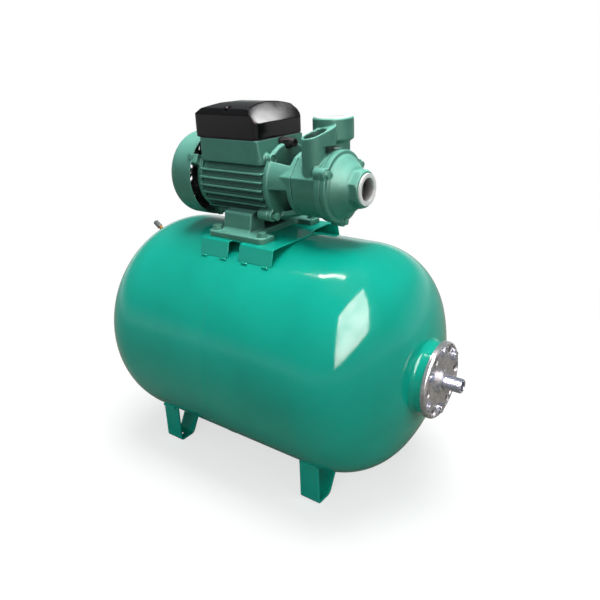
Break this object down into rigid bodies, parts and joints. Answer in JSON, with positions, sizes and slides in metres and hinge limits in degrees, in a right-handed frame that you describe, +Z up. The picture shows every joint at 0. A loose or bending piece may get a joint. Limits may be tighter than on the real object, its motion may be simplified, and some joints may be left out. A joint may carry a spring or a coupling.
{
  "type": "pump with pressure tank",
  "caption": "Horizontal membrane pressure tank on strap feet with a finned electric peripheral water pump bolted to a platform on top.",
  "frame": {"origin": "on the floor under the middle of the tank, at the centre of the four foot holes", "axes": "+X along the tank towards the water connection and the suction nozzle, +Z up"},
  "size_m": [0.4863, 0.2816, 0.4527],
  "materials": {
    "green_tank_enamel": "gloss",
    "green_pump_enamel": "satin",
    "zinc_plated_steel": "satin",
    "turned_steel": "satin",
    "painted_bolt_steel": "satin",
    "brass": "satin",
    "copper_wire": "satin",
    "black_gloss_plastic": "gloss",
    "black_matte_plastic": "matte",
    "grey_plastic": "matte",
    "white_plastic": "satin",
    "black_rubber": "matte",
    "phenolic_board": "satin",
    "ceramic_ring": "satin"
  },
  "bodies": {
    "unit": {"tank_shell_front": "green_tank_enamel", "tank_shell_rear": "green_tank_enamel", "girth_weld": "green_tank_enamel", "foot_front_near": "green_tank_enamel", "foot_front_far": "green_tank_enamel", "foot_rear_near": "green_tank_enamel", "foot_rear_far": "green_tank_enamel", "foot_welds": "green_tank_enamel", "pump_platform": "green_tank_enamel", "platform_welds": "green_tank_enamel", "tank_ring": "green_tank_enamel", "tank_flange": "zinc_plated_steel", "flange_bolts": "zinc_plated_steel", "water_stub": "zinc_plated_steel", "membrane": "black_rubber", "air_valve_stem": "brass", "motor_housing": "green_pump_enamel", "rear_shield": "green_pump_enamel", "fan_cowl": "green_pump_enamel", "cowl_screws": "painted_bolt_steel", "stator_core": "turned_steel", "stator_windings": "copper_wire", "bearing_outer_rings": "turned_steel", "lantern": "green_pump_enamel", "tie_bolts": "painted_bolt_steel", "lantern_bolts": "painted_bolt_steel", "pump_casing": "green_pump_enamel", "seal_seat": "ceramic_ring", "casing_ring_seal": "black_rubber", "front_cover": "green_pump_enamel", "rim_bolts": "painted_bolt_steel", "terminal_cover": "black_gloss_plastic", "cover_gasket": "black_rubber", "cover_screws": "zinc_plated_steel", "terminal_board": "phenolic_board", "terminal_studs": "brass", "capacitor": "grey_plastic", "cable_gland": "black_matte_plastic", "gland_nut": "black_matte_plastic", "foot_bolts": "painted_bolt_steel", "foot_washers": "painted_bolt_steel", "foot_nuts": "painted_bolt_steel"},
    "rotor": {"cooling_fan": "black_matte_plastic", "rotor_core": "turned_steel", "motor_shaft": "turned_steel", "bearing_inner_rings": "turned_steel", "bearing_balls": "turned_steel", "slinger": "black_rubber", "impeller": "brass", "impeller_key": "turned_steel", "seal_ring": "black_rubber", "seal_bellows": "black_rubber"},
    "suction_plug_body": {"suction_plug": "white_plastic"},
    "outlet_plug_body": {"outlet_plug": "white_plastic"},
    "valve_cap_body": {"air_valve_cap": "grey_plastic"},
    "valve_pin_body": {"air_valve_pin": "brass"}
  },
  "joints": [
    {"name": "shaft_spin", "type": "hinge", "parent": "unit", "child": "rotor", "pos_m": [0, 0, 0.3635], "axis": [1, 0, 0], "continuous": true},
    {"name": "suction_plug_pull", "type": "slide", "parent": "unit", "child": "suction_plug_body", "axis": [1, 0, 0], "range_m": [0, 0.022]},
    {"name": "outlet_plug_pull", "type": "slide", "parent": "unit", "child": "outlet_plug_body", "axis": [0, 0, 1], "range_m": [0, 0.022]},
    {"name": "valve_cap_off", "type": "slide", "parent": "unit", "child": "valve_cap_body", "axis": [-0.809, 0, 0.5878], "range_m": [0, 0.014]},
    {"name": "valve_pin_press", "type": "slide", "parent": "unit", "child": "valve_pin_body", "axis": [0.809, 0, -0.5878], "range_m": [0, 0.001], "stiffness_N_per_m": 400, "springref_m": -0.001}
  ]
}
